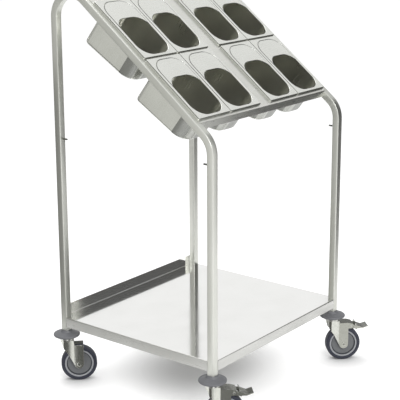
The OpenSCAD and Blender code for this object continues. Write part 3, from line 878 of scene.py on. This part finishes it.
@dataclass
class CutleryPans:
    """The eight lift-out containers with their covers, all drawn on one die.

    Attributes:
        low: Height of the turned-down rim's edge over the rack's plane.
        rim: Height of the rim.
        slant: Rise of the bottom towards the shallow end in degrees.
        wall_rows: Rows of the wall under the cover's seat, as inset and drop.
        rim_rows: Rows of the rim that get the dark painted shade.
        flange_rows: Rows past the flange's edge that still have its finish.
        wall_start: Row past the flange's edge where the drawn wall starts.
        front_end: Row past the flange's edge where the painted highlight strip ends.
        front_steps: Steps round the outline that the painted highlight strip takes.
        horn: Height of the cover's lower corners over the middle of the arc beside them.
        hollow_half: Half of the straight part of the cover's hollowed edge.
        horn_gap: How far the arc beside a corner is drawn in.
    """

    workshop: Workshop
    width: float = 162.0
    length: float = 265.0
    corner: float = 5.0
    low: float = 1.8
    rim: float = 7.0
    rim_radius: float = 2.4
    mouth_width: float = 140.0
    mouth_length: float = 244.0
    mouth_corner: float = 50.0
    body_length: float = 220.0
    body_corner: float = 18.0
    least_corner: float = 4.0
    depth: float = 142.0
    slant: float = 6.5
    floor_radius: float = 11.0
    sheet: float = 1.2
    wall_rows: tuple[Point2, ...] = ((0.0, 0.1), (0.05, 0.5), (0.1, 1.2))
    rim_rows: int = 4
    flange_rows: int = 2
    wall_start: int = 4
    front_end: int = 9
    front_steps: int = 6
    open_length: float = 165.0
    pair_gap: float = 1.0
    centre_gap: float = 57.0
    first_row: float = 72.7
    row_gap: float = 5.0
    lid_gap: float = 0.9
    lid_border: float = 1.3
    lid_edge: float = 0.3
    horn: float = 12.5
    hollow_half: float = 21.0
    horn_gap: float = 0.4
    arc_steps: int = 14

    def mouth_start(self) -> float:
        """Where the mouth starts along the container."""
        return (self.length - self.mouth_length) / 2

    def ring(self, width: float, y0: float, y1: float, r0: float, r1: float) -> list[Point2]:
        """A rounded outline with its own radius at each end.

        Args:
            width: Its width.
            y0: Its lower end.
            y1: Its upper end.
            r0: Corner radius at the lower end.
            r1: Corner radius at the upper end.

        Returns:
            Its points, as many for every outline, from the lower right corner on.
        """
        points = []
        for sign, y, radius, start in ((1, y0 + r0, r0, -90), (1, y1 - r1, r1, 0),
                                       (-1, y1 - r1, r1, 90), (-1, y0 + r0, r0, 180)):
            for step in range(self.arc_steps + 1):
                turn = math.radians(start + 90 * step / self.arc_steps)
                points.append((sign * (width / 2 - radius) + radius * math.cos(turn),
                               y + radius * math.sin(turn)))
        return points

    def flange_ring(self, inset: float) -> list[Point2]:
        """The flange's outline, drawn in by inset."""
        radius = self.corner - inset
        return self.ring(self.width - 2 * inset, inset, self.length - inset, radius, radius)

    def mouth_ring(self, grow: float) -> list[Point2]:
        """The mouth's outline.

        Args:
            grow: How far it lies outside the mouth's edge.

        Returns:
            Its points.
        """
        low = self.mouth_start()
        radius = self.mouth_corner + grow
        return self.ring(self.mouth_width + 2 * grow, low - grow, low + self.mouth_length + grow,
                         radius, radius)

    def body_ring(self, inset: float) -> list[Point2]:
        """The body's outline.

        Args:
            inset: How far it lies inside the body's wall.

        Returns:
            Its points.
        """
        low = self.mouth_start()
        upper = self.body_corner - min(inset, self.body_corner - self.least_corner)
        return self.ring(self.mouth_width - 2 * inset, low + inset,
                         low + self.body_length - inset, self.mouth_corner - inset, upper)

    def floor_height(self, y: float) -> float:
        """Height of the slanted bottom at a place along the body.

        Args:
            y: The place, from the container's lower end.

        Returns:
            The height over the rack's plane.
        """
        upper_end = self.mouth_start() + self.body_length
        rise = (upper_end - y) * math.tan(math.radians(self.slant))
        return self.low + self.rim - self.depth + rise

    def shell(self) -> tuple[list[Point3], list[tuple[int, ...]], list[int]]:
        """The sheet's upper face from the turned-down rim to the bottom of the well.

        Returns:
            Points, faces and each face's material number.
        """
        top = self.low + self.rim
        rows = [[(x, y, self.low) for x, y in self.flange_ring(0)]]
        rows += [[(x, y, top - drop) for x, y in self.flange_ring(inset)]
                 for inset, drop in quarter(self.rim_radius, 5)]
        flange_end = len(rows)
        rows += [[(x, y, top - drop) for x, y in self.mouth_ring(grow)]
                 for drop, grow in quarter(self.sheet, 3)]
        rows += [[(x, y, top - self.sheet - drop) for x, y in self.body_ring(inset)]
                 for inset, drop in self.wall_rows]
        last = self.wall_rows[-1][0]
        rows += [[(x, y, self.floor_height(y) + rise) for x, y in self.body_ring(last + inset)]
                 for inset, rise in quarter(self.floor_radius, 5)]
        count = len(rows[0])
        faces: list[tuple[int, ...]] = []
        kinds: list[int] = []
        for k in range(len(rows) - 1):
            for step in range(count):
                after = (step + 1) % count
                faces.append((k * count + step, k * count + after,
                              (k + 1) * count + after, (k + 1) * count + step))
                # The rim's rounding gets the dark painted shade.
                if 0 < k < self.rim_rows:
                    place = PanFace.RIM
                elif k < flange_end + self.flange_rows:
                    place = PanFace.FLANGE
                else:
                    place = self.drawn(k - flange_end, step)
                kinds.append(place.number())
        faces.append(tuple((len(rows) - 1) * count + step for step in range(count)))
        kinds.append(PanFace.WELL.number())
        return [point for row in rows for point in row], faces, kinds

    def drawn(self, row: int, step: int) -> PanFace:
        """Place of a face of the body: the outside of its lower end gets painted shade and one
        strip of painted highlight.

        Args:
            row: Its row, counted from the flange's inner edge.
            step: Its step round the outline.

        Returns:
            The place, which gives its finish.
        """
        arc = self.arc_steps + 1
        if row < self.wall_start or self.arc_steps <= step < 3 * arc:
            return PanFace.WELL
        # Past the wall's start, the outside of the lower end gets painted shade.
        flat = 4 * arc - 1
        # A strip beside the lower end's front gets a painted highlight instead.
        smooth = flat - self.front_steps <= step < flat and row < self.front_end
        return PanFace.FRONT if smooth else PanFace.CORNER

    def container(self) -> Piece:
        """Makes one container in its own frame, with its wall's thickness.

        Returns:
            The container, with its materials.
        """
        points, faces, kinds = self.shell()
        mesh = bpy.data.meshes.new("container")
        mesh.from_pydata([Vector(p) * MM for p in points], [], faces)
        piece = put("container", mesh)
        for place in PanFace:
            self.workshop.dress(piece, *place.value)
        mesh.polygons.foreach_set("material_index", kinds)
        if mesh.polygons[-1].normal.z < 0:
            mesh.flip_normals()
        shade(piece, DRAWN_TURN)
        wall = piece.modifiers.new("wall", "SOLIDIFY")
        wall.thickness = self.sheet * MM
        wall.offset = -1
        wall.use_even_offset = True
        wall.material_offset = 1
        wall.material_offset_rim = 1
        even = piece.modifiers.new("even_shading", "WEIGHTED_NORMAL")
        even.keep_sharp = True
        return settle(piece)

    def cover_outline(self, inset: float) -> tuple[list[Point2], list[Point2]]:
        """The cover's outer edge and its hollowed lower edge, drawn in by inset.

        Args:
            inset: How far both lie inside the cover.

        Returns:
            Two lists with as many points each, from the right to the left.
        """
        half = self.mouth_width / 2 - self.lid_gap - inset
        low = self.mouth_start()
        end = low + self.mouth_length - self.lid_gap - inset
        radius = self.mouth_corner - self.lid_gap - inset
        reach = self.mouth_corner
        middle = low + self.open_length - reach
        outer: list[Point2] = [(half, middle + self.horn + inset)]
        inner: list[Point2] = []
        for step in range(self.arc_steps + 1):
            turn = math.radians(90 * step / self.arc_steps)
            outer.append((half - radius + radius * math.cos(turn),
                          end - radius + radius * math.sin(turn)))
        start = math.asin(self.horn / reach)
        for step in range(self.arc_steps + 2):
            turn = start + (math.pi / 2 - start) * step / (self.arc_steps + 1)
            pull = inset * math.cos(start) if step == 0 else 0.0
            inner.append((self.hollow_half + (reach - self.horn_gap) * math.cos(turn) - pull,
                          middle + reach * math.sin(turn) + inset))
        outer += [(-x, y) for x, y in reversed(outer)]
        inner += [(-x, y) for x, y in reversed(inner)]
        return outer, inner

    def cover(self) -> Piece:
        """Makes one cover in its own frame: the mouth's upper part, with a hollowed lower edge and
        painted shade on its edge band.

        Returns:
            The cover, with its materials.
        """
        top = self.low + self.rim
        edge_outer, edge_inner = self.cover_outline(0)
        flat_outer, flat_inner = self.cover_outline(self.lid_border)
        count = len(edge_outer)
        rows = [[(x, y, top) for x, y in row]
                for row in (edge_outer, flat_outer, flat_inner, edge_inner)]
        rows += [[(x, y, top - self.sheet) for x, y in row] for row in (edge_inner, edge_outer)]
        faces: list[tuple[int, ...]] = []
        kinds: list[int] = []
        for row in range(len(rows)):
            after = (row + 1) % len(rows)
            # Every face but the flat top and the underside gets the edge's painted shade.
            flat = row in (1, 4)
            for k in range(count - 1):
                faces.append((row * count + k, row * count + k + 1,
                              after * count + k + 1, after * count + k))
                kinds.append(int(not flat))
        for k in (0, count - 1):
            faces.append(tuple(row * count + k for row in range(len(rows))))
            kinds.append(1)
        piece = mesh_object("cover", [point for row in rows for point in row], faces)
        self.workshop.dress(piece, LID_SHEET, LID_EDGE_SHADE)
        piece.data.polygons.foreach_set("material_index", kinds)
        shade(piece, DRAWN_TURN)
        return ease_edges(piece, self.lid_edge, DRAWN_TURN, material=1)

    def build(self) -> None:
        """Sets one container and one cover out in every place of the rack."""
        templates = {("pan", "container"): self.container(), ("lid", "cover"): self.cover()}
        pitch = self.width + self.pair_gap
        first = self.centre_gap / 2 + self.width / 2
        columns = (-first - pitch, -first, first, first + pitch)
        rows = {"lower": self.first_row, "upper": self.first_row + self.length + self.row_gap}
        for row, along in rows.items():
            for number, x in enumerate(columns, 1):
                place = LAYOUT.on_slope(x, along)
                place.translation *= MM
                seat = f"_{row}_{number}"
                for (name, node), template in templates.items():
                    mesh = template.data.copy()
                    mesh.transform(place)
                    mesh.name = name + seat
                    fit(put(name + seat, mesh), "pan" + seat, "drawn_steel", node + seat)
        for template in templates.values():
            bpy.data.objects.remove(template)


@dataclass
class Castors:
    """The four swivel castors with their bumpers, the front ones with a brake pedal.

    Attributes:
        seat: Radius on which the tyre sits.
        crease: Distance from the kingpin to the fork's creases.
        rim_in: Width of the rim's face.
        rim_deep: Depth of the rim's face with its rounded edge.
        step_in: Width of the rim's face with the step beside it.
        bead: Width of the tyre's sloping edge on its seat.
        tread_round: Rounding of the tyre's shoulders.
        leg_clear: Faces further than this from the castor's middle are on a leg.
        margin: Keeps faces on the step's edge out of it.
        slack: How far a fork's edge may lie from its crease.
        upward: Faces that look up by more than this, as a cosine, get the painted dark reflection.
        inward: Faces that look inwards by more than this, as a cosine, are duller with painted
            shade.
        wide: Steps round wheels, tyres and bumpers.
        narrow: Steps round bushes and axles.
        bumper_corners: Corners of the bumper's outline, as radius, height and rounding.
        bush_corners: The same for the bush, below the wheel's middle.
        axle_corners: The same for the axle.
    """

    workshop: Workshop
    trail: float = 40.0
    wheel_diameter: float = 125.0
    tyre_width: float = 32.0
    seat: float = 50.0
    crease: float = 22.0
    steel_edge: float = 0.35
    pin_edge: float = 0.3
    bore: float = 10.0
    hub_radius: float = 15.0
    hub_half: float = 18.0
    rim_set: float = 2.0
    web_set: float = 7.0
    rim_in: float = 5.5
    rim_deep: float = 0.9
    step_in: float = 9.5
    bead: float = 2.0
    tread_round: float = 9.0
    leg_clear: float = 12.0
    margin: float = 0.1
    slack: float = 0.4
    upward: float = 0.5
    inward: float = 0.3
    wide: int = 96
    narrow: int = 48
    bumper_corners: tuple[Point3, ...] = (
        (6.0, 159.0, 0), (29.5, 159.0, 1.2), (29.5, 165.5, 1.5), (46.0, 165.5, 4.0),
        (46.0, 173.5, 3.9), (38.0, 174.2, 6.0), (21.5, 180.2, 3.0), (18.0, 187.0, 1.0),
        (6.0, 187.0, 0))
    bush_corners: tuple[Point3, ...] = ((6.05, -19.2, 0), (10.0, -19.2, 0.6))
    axle_corners: tuple[Point3, ...] = (
        (2.0, -23.7, 0.1), (8.0, -23.7, 0.2), (8.0, -22.5, 0), (6.0, -22.5, 0))

    def axle_frame(self, corner: Corner) -> Matrix:
        """Frame at the middle of the axle, with z along it."""
        shift = Matrix.Translation((self.trail, 0, self.wheel_diameter / 2))
        return corner.castor_frame() @ shift @ Matrix.Rotation(math.radians(90), 4, "X")

    def turned(self, name: str, outline: Sequence[Point2], place: Matrix, body: str, slot: str,
               node: str, finish: Finish, segments: int) -> None:
        """Turns a round piece and seats it.

        Args:
            name: The piece's name.
            outline: Its closed outline as radius and height.
            place: The frame that it is turned in.
            body: The body that it rides on.
            slot: The record's material slot.
            node: The solid that it stands for.
            finish: Its finish.
            segments: Steps round it.
        """
        piece = lathe(name, outline, place, segments)
        shade(piece, ROUND_TURN)
        fit(piece, body, slot, node, finish=self.workshop.get(finish))

    def bumper(self, corner: Corner) -> None:
        """Makes the bumper disc: a collar below, a rounded rim and a dome up to the post.

        Args:
            corner: The post that the castor is under.
        """
        label = corner.label()
        self.turned("bumper_disc_" + label, fillet(self.bumper_corners, 6),
                    corner.castor_frame(), "frame", "bumper_plastic", "bumper_" + label,
                    BUMPER_PLASTIC, self.wide)

    def wheel_centre(self, corner: Corner) -> None:
        """Makes the wheel's hub, web and rim, with a lighter rim and painted shade on the step
        beside it.

        Args:
            corner: The post that the castor is under.
        """
        place = self.axle_frame(corner)
        seat, half = self.seat, self.tyre_width / 2
        rim, web = half - self.rim_set, half - self.web_set
        outline = fillet(mirrored([
            (self.bore, -self.hub_half, 0), (self.hub_radius, -self.hub_half, 1.0),
            (self.hub_radius, -web, 2.0), (seat - self.step_in, -web, 0),
            (seat - self.rim_in, -web, 1.0), (seat - self.rim_in, -rim, 1.0),
            (seat, -rim, 0.3)]), 4)
        piece = lathe("wheel_centre_" + corner.label(), outline, place, self.wide)
        shade(piece, ROUND_TURN)
        self.workshop.dress(piece, WHEEL_PLASTIC, WHEEL_RIM, WHEEL_STEP_SHADE)
        back = place.inverted()
        for face in piece.data.polygons:
            spot = back @ (face.center / MM)
            if math.hypot(spot.x, spot.y) > seat - self.step_in + self.margin:
                # The rim's face gets the lighter finish, the step beside it painted shade.
                face.material_index = 1 if abs(spot.z) > rim - self.rim_deep else 2
        fit(piece, "roller_" + corner.label(), "wheel_plastic", "wheel_" + corner.label())

    def wheel(self, corner: Corner) -> None:
        """Makes wheel centre, tyre, bush and axle, all turned round the axle.

        Args:
            corner: The post that the castor is under.
        """
        self.wheel_centre(corner)
        label = corner.label()
        place = self.axle_frame(corner)
        crown, half, seat = self.wheel_diameter / 2, self.tyre_width / 2, self.seat
        tread = fillet(mirrored([
            (seat, -half + self.bead, 0), (seat + self.bead, -half, 0.6),
            (crown, -half, self.tread_round)]), 8)
        self.turned("tread_" + label, tread, place, "roller_" + label, "tyre_rubber",
                    "tyre_" + label, TYRE_RUBBER, self.wide)
        self.turned("wheel_bush_" + label, fillet(mirrored(self.bush_corners), 3), place,
                    "roller_" + label, "wheel_plastic", "bush_" + label, WHEEL_PLASTIC,
                    self.narrow)
        self.turned("wheel_axle_" + label, fillet(mirrored(self.axle_corners), 3), place,
                    "swivel_" + label, "bright_steel", "axle_" + label, PRESSED_STEEL,
                    self.narrow)

    def mark_crease(self, piece: Piece, corner: Corner) -> None:
        """Leaves the upright creases of a fork's sides sharp.

        Args:
            piece: The fork.
            corner: The post that the castor is under.
        """
        back = corner.castor_frame().inverted()
        mesh = piece.data
        sharp = (mesh.attributes.get("sharp_edge")
                 or mesh.attributes.new("sharp_edge", "BOOLEAN", "EDGE"))
        for edge in mesh.edges:
            one, two = (back @ (mesh.vertices[k].co / MM) for k in edge.vertices)
            upright = max(abs(one.x - two.x), abs(one.y - two.y)) < self.slack / 2
            if upright and abs(one.x - self.crease) < self.slack:
                sharp.data[edge.index].value = True

    def steel_with_painted_shade(self, piece: Piece, corner: Corner) -> None:
        """Gives steel its finishes: bright outside, painted shade between the legs and a painted
        dark reflection on top.

        Args:
            piece: The fork or the pedal.
            corner: The post that the castor is under.
        """
        piece.data.materials.clear()
        self.workshop.dress(piece, PRESSED_STEEL, STEEL_INSIDE_SHADE, STEEL_TOP_DARK_REFLECTION)
        back = corner.castor_frame().inverted()
        turn = back.to_3x3()
        for face in piece.data.polygons:
            spot = back @ (face.center / MM)
            facing = turn @ face.normal
            # Tops get the painted dark reflection.
            if facing.z > self.upward and spot.x > self.crease:
                face.material_index = 2
            # The legs' inward faces get painted shade.
            elif (abs(spot.y) > self.leg_clear
                  and facing.y * spot.y < -self.inward * abs(spot.y)):
                face.material_index = 1

    def steelwork(self, corner: Corner) -> None:
        """Finishes the fork and the stem, and the brake pedal with its pin.

        Args:
            corner: The post that the castor is under.
        """
        label = corner.label()
        turned_steel = self.workshop.get(TURNED_STEEL)
        fork = from_node("fork_" + label, "castor_fork_" + label, self.steel_edge)
        self.mark_crease(fork, corner)
        self.steel_with_painted_shade(fork, corner)
        fit(fork, "swivel_" + label, "pressed_steel", "fork_" + label)
        stem = from_node("stem_" + label, "castor_stem_" + label, self.steel_edge)
        fit(stem, "frame", "bright_steel", "stem_" + label, finish=turned_steel)
        if not corner.braked():
            return
        pedal = from_node("pedal_" + label, "brake_lever_" + label, self.steel_edge)
        self.steel_with_painted_shade(pedal, corner)
        fit(pedal, "brake_" + label, "pressed_steel", "pedal_" + label)
        pin = from_node("pedal_pin_" + label, "lever_pin_" + label, self.pin_edge)
        fit(pin, "swivel_" + label, "bright_steel", "pedal_pin_" + label, finish=turned_steel)

    def build(self) -> None:
        """Builds the castors of all four posts."""
        for corner in Corner:
            self.bumper(corner)
            self.steelwork(corner)
            self.wheel(corner)


# Studio


@dataclass(frozen=True)
class Panel:
    """An upright grey panel beside the set, out of view, that bright metal mirrors.

    Attributes:
        name: The panel's name.
        colour: Its sRGB colour as mirrored.
        start: One end on the floor in millimetres.
        end: The other end.
        low: Height of its lower edge in millimetres.
        high: Height of its upper edge in millimetres.
    """

    name: str
    colour: str
    start: Point2
    end: Point2
    low: float
    high: float

    def build(self) -> None:
        """Stands the panel up, where only mirrored rays see it."""
        made = bpy.data.materials.new("studio_" + self.name)
        tree = emptied(made)
        glow = add_node(tree, "ShaderNodeEmission", {
            "Color": linear(self.colour), "Strength": 1.0})
        add_node(tree, "ShaderNodeOutputMaterial", None, {"Surface": glow})
        corners = [(*self.start, self.low), (*self.end, self.low),
                   (*self.end, self.high), (*self.start, self.high)]
        sheet = mesh_object(self.name, corners, [(0, 1, 2, 3)])
        sheet.data.materials.append(made)
        sheet.visible_camera = False
        sheet.visible_diffuse = False
        sheet.visible_shadow = False


@dataclass
class Studio:
    """Camera, pale floor and soft light.

    Attributes:
        clip: The nearest and furthest that the camera sees, in metres.
        room_level: Strength of the room's light; it is seen and mirrored at full strength.
        near_lift: Light that the floor adds to its own inside near_radius, in metres.
        far_lift: The same outside far_radius.
        contact: How far, in metres, a piece close to the floor darkens it.
        contact_power: How tightly that shadow is drawn in.
        flag_gap: Distance from a castor's middle to the cards beside it, in millimetres.
        nose_flag: The ends of the card before its nose, along its trail.
        leg_flag: The ends of the card before its leg.
        aim: Where the lamps look, in metres.
    """

    position: Point3 = (-3.06456, -2.38463, 1.70207)
    yaw: float = 0.908038
    pitch: float = 0.249239
    roll: float = -0.004115
    lens: float = 104.657
    sensor: float = 36.0
    shift_y: float = -0.06
    clip: Point2 = (0.05, 100.0)
    floor_half: float = 30.0
    floor_drop: float = 0.0004
    room_level: float = 0.5
    near_radius: float = 0.05
    far_radius: float = 0.42
    near_lift: float = 0.0
    far_lift: float = 0.68
    contact: float = 0.15
    contact_power: float = 2.2
    flag_gap: float = 112.0
    flag_height: float = 140.0
    nose_flag: Point2 = (-170.0, -8.0)
    leg_flag: Point2 = (26.0, 130.0)
    aim: Point3 = (0.0, 0.0, 0.6)
    panels: tuple[Panel, ...] = (
        Panel("dark_panel_low", "#666666", (900, -930), (3600, -930), 0, 600),
        Panel("dark_panel_high", "#626262", (480, -930), (3600, -930), 600, 2600),
        Panel("dark_panel_mid", "#626262", (520, -930), (900, -930), 330, 600),
        Panel("side_panel_foot", "#a8a8a5", (-760, -60), (-760, 680), 0, 170),
        Panel("side_panel_front", "#e0e0dd", (-760, -60), (-760, 430), 170, 1400),
        Panel("side_panel_rear", "#a6a6a4", (-760, 430), (-760, 680), 170, 1000),
        Panel("side_panel_top", "#e0e0dd", (-760, 430), (-760, 680), 1000, 1400),
        Panel("back_panel", "#bcbcba", (-2200, 2300), (1500, 2300), 0, 2400),
        Panel("right_panel", "#bcbcba", (2500, -500), (2500, 980), 0, 2000),
        Panel("front_panel", "#bcbcba", (-1300, -3000), (1300, -3000), 1600, 3800),
        Panel("grey_panel", "#8c8c8a", (-860, 750), (-430, 750), 0, 1000))

    def camera(self) -> None:
        """Sets the camera at the photograph's viewing angle."""
        ahead = Vector((math.sin(self.yaw) * math.cos(self.pitch),
                        math.cos(self.yaw) * math.cos(self.pitch), -math.sin(self.pitch)))
        level = Vector((math.cos(self.yaw), -math.sin(self.yaw), 0))
        upright = level.cross(ahead)
        right = math.cos(self.roll) * level + math.sin(self.roll) * upright
        up = -math.sin(self.roll) * level + math.cos(self.roll) * upright
        data = bpy.data.cameras.new("camera")
        data.sensor_fit = "HORIZONTAL"
        data.sensor_width = self.sensor
        data.lens = self.lens
        data.shift_y = self.shift_y
        data.clip_start, data.clip_end = self.clip
        made = put("camera", data)
        place = Matrix((right, up, -ahead)).transposed().to_4x4()
        place.translation = Vector(self.position)
        made.matrix_world = place
        bpy.context.scene.camera = made

    def seen(self, tree: Tree) -> Node:
        """Adds a switch for the rays that see the room and the floor at full strength.

        Args:
            tree: The node tree that gets it.

        Returns:
            A node that gives one for camera, glossy and transmission rays, nought for the rest.
        """
        rays = add_node(tree, "ShaderNodeLightPath").outputs
        either = add_node(tree, "ShaderNodeMath", {"operation": "MAXIMUM"}, {
            0: rays["Is Camera Ray"], 1: rays["Is Glossy Ray"]})
        return add_node(tree, "ShaderNodeMath", {"operation": "MAXIMUM"}, {
            0: either, 1: rays["Is Transmission Ray"]})

    def room(self) -> None:
        """A white room, seen at full strength and giving a softer light."""
        world = bpy.data.worlds.new("studio_room")
        tree = emptied(world)
        level = add_node(tree, "ShaderNodeMix", {
            "data_type": "FLOAT", 2: self.room_level, 3: 1.0}, {0: self.seen(tree)})
        light = add_node(tree, "ShaderNodeBackground", {"Color": linear("#ffffff")},
                         {"Strength": level})
        add_node(tree, "ShaderNodeOutputWorld", None, {"Surface": light})
        bpy.context.scene.world = world

    def floor(self) -> None:
        """A plain pale floor that keeps the soft shadows; its added light fades out round the
        middle as a painted shadow and turns it white further out.
        """
        made = bpy.data.materials.new("studio_floor_matt_white")
        tree = emptied(made)
        matt = add_node(tree, "ShaderNodeBsdfDiffuse", {"Color": linear("#d8d8d8")})
        spot = add_node(tree, "ShaderNodeTexCoord")
        away = add_node(tree, "ShaderNodeVectorMath", {"operation": "LENGTH"},
                        {0: spot.outputs["Object"]})
        fade = add_node(tree, "ShaderNodeMapRange", {
            "interpolation_type": "SMOOTHSTEP",
            "From Min": self.near_radius, "From Max": self.far_radius,
            "To Min": self.near_lift, "To Max": self.far_lift},
            {"Value": away.outputs["Value"]})
        close = add_node(tree, "ShaderNodeAmbientOcclusion", {"Distance": self.contact})
        lift = add_node(tree, "ShaderNodeMath", {"operation": "POWER", 1: self.contact_power},
                        {0: close.outputs["AO"]})
        for share in (fade, self.seen(tree)):
            lift = add_node(tree, "ShaderNodeMath", {"operation": "MULTIPLY"},
                            {0: lift, 1: share})
        glow = add_node(tree, "ShaderNodeEmission", {"Color": linear("#ffffff")},
                        {"Strength": lift})
        both = add_node(tree, "ShaderNodeAddShader", None, {0: matt, 1: glow})
        add_node(tree, "ShaderNodeOutputMaterial", None, {"Surface": both})
        half = self.floor_half / MM
        plane = mesh_object("floor", [(-half, -half, 0), (half, -half, 0), (half, half, 0),
                                      (-half, half, 0)], [(0, 1, 2, 3)])
        plane.data.transform(Matrix.Translation((0, 0, -self.floor_drop)))
        plane.data.materials.append(made)

    def flags(self) -> list[Panel]:
        """Small cards beside the castors, which their bright steel mirrors.

        Returns:
            One before the nose and one before the leg of each castor that the camera sees.
        """
        legs = {Corner.FRONT_LEFT: "#868684", Corner.REAR_LEFT: "#6e6e6c",
                Corner.FRONT_RIGHT: "#e2e2df"}
        cards = []
        for corner, leg in legs.items():
            place = corner.castor_frame()
            for part, reach, colour in (("nose", self.nose_flag, "#6a6a68"),
                                        ("leg", self.leg_flag, leg)):
                ends = [(place @ Vector((u, -self.flag_gap, 0))).xy[:] for u in reach]
                cards.append(Panel(f"{part}_flag_{corner.label()}", colour, ends[0], ends[1],
                                   0, self.flag_height))
        return cards

    def lamp(self, name: str, position: Point3, size: float, power: float) -> None:
        """Adds one square soft lamp that looks at the middle of the trolley.

        Args:
            name: The lamp's name.
            position: Its place in metres.
            size: Its side in metres.
            power: Its power in watts.
        """
        data = bpy.data.lights.new(name, "AREA")
        data.shape = "SQUARE"
        data.size = size
        data.energy = power
        made = put(name, data)
        made.location = position
        ahead = Vector(self.aim) - Vector(position)
        made.rotation_euler = ahead.to_track_quat("-Z", "Y").to_euler()

    def build(self) -> None:
        """Sets up the whole studio."""
        self.camera()
        self.room()
        self.floor()
        for panel in (*self.panels, *self.flags()):
            panel.build()
        self.lamp("key_lamp", (-2.2, -3.6, 3.4), 2.2, 110)
        self.lamp("top_lamp", (0.6, 1.2, 4.2), 2.6, 60)
        bpy.context.scene.view_settings.view_transform = "Standard"


def main() -> None:
    """Builds the studio and the trolley."""
    logging.basicConfig(level=logging.INFO, format="%(message)s")
    Studio().build()
    workshop = Workshop()
    makers: list[Callable[[Workshop], object]] = [
        SideFrames, StopPins, SheetWork, CutleryPans, Castors]
    for maker in makers:
        maker(workshop).build()


if __name__ == "__main__":
    main()
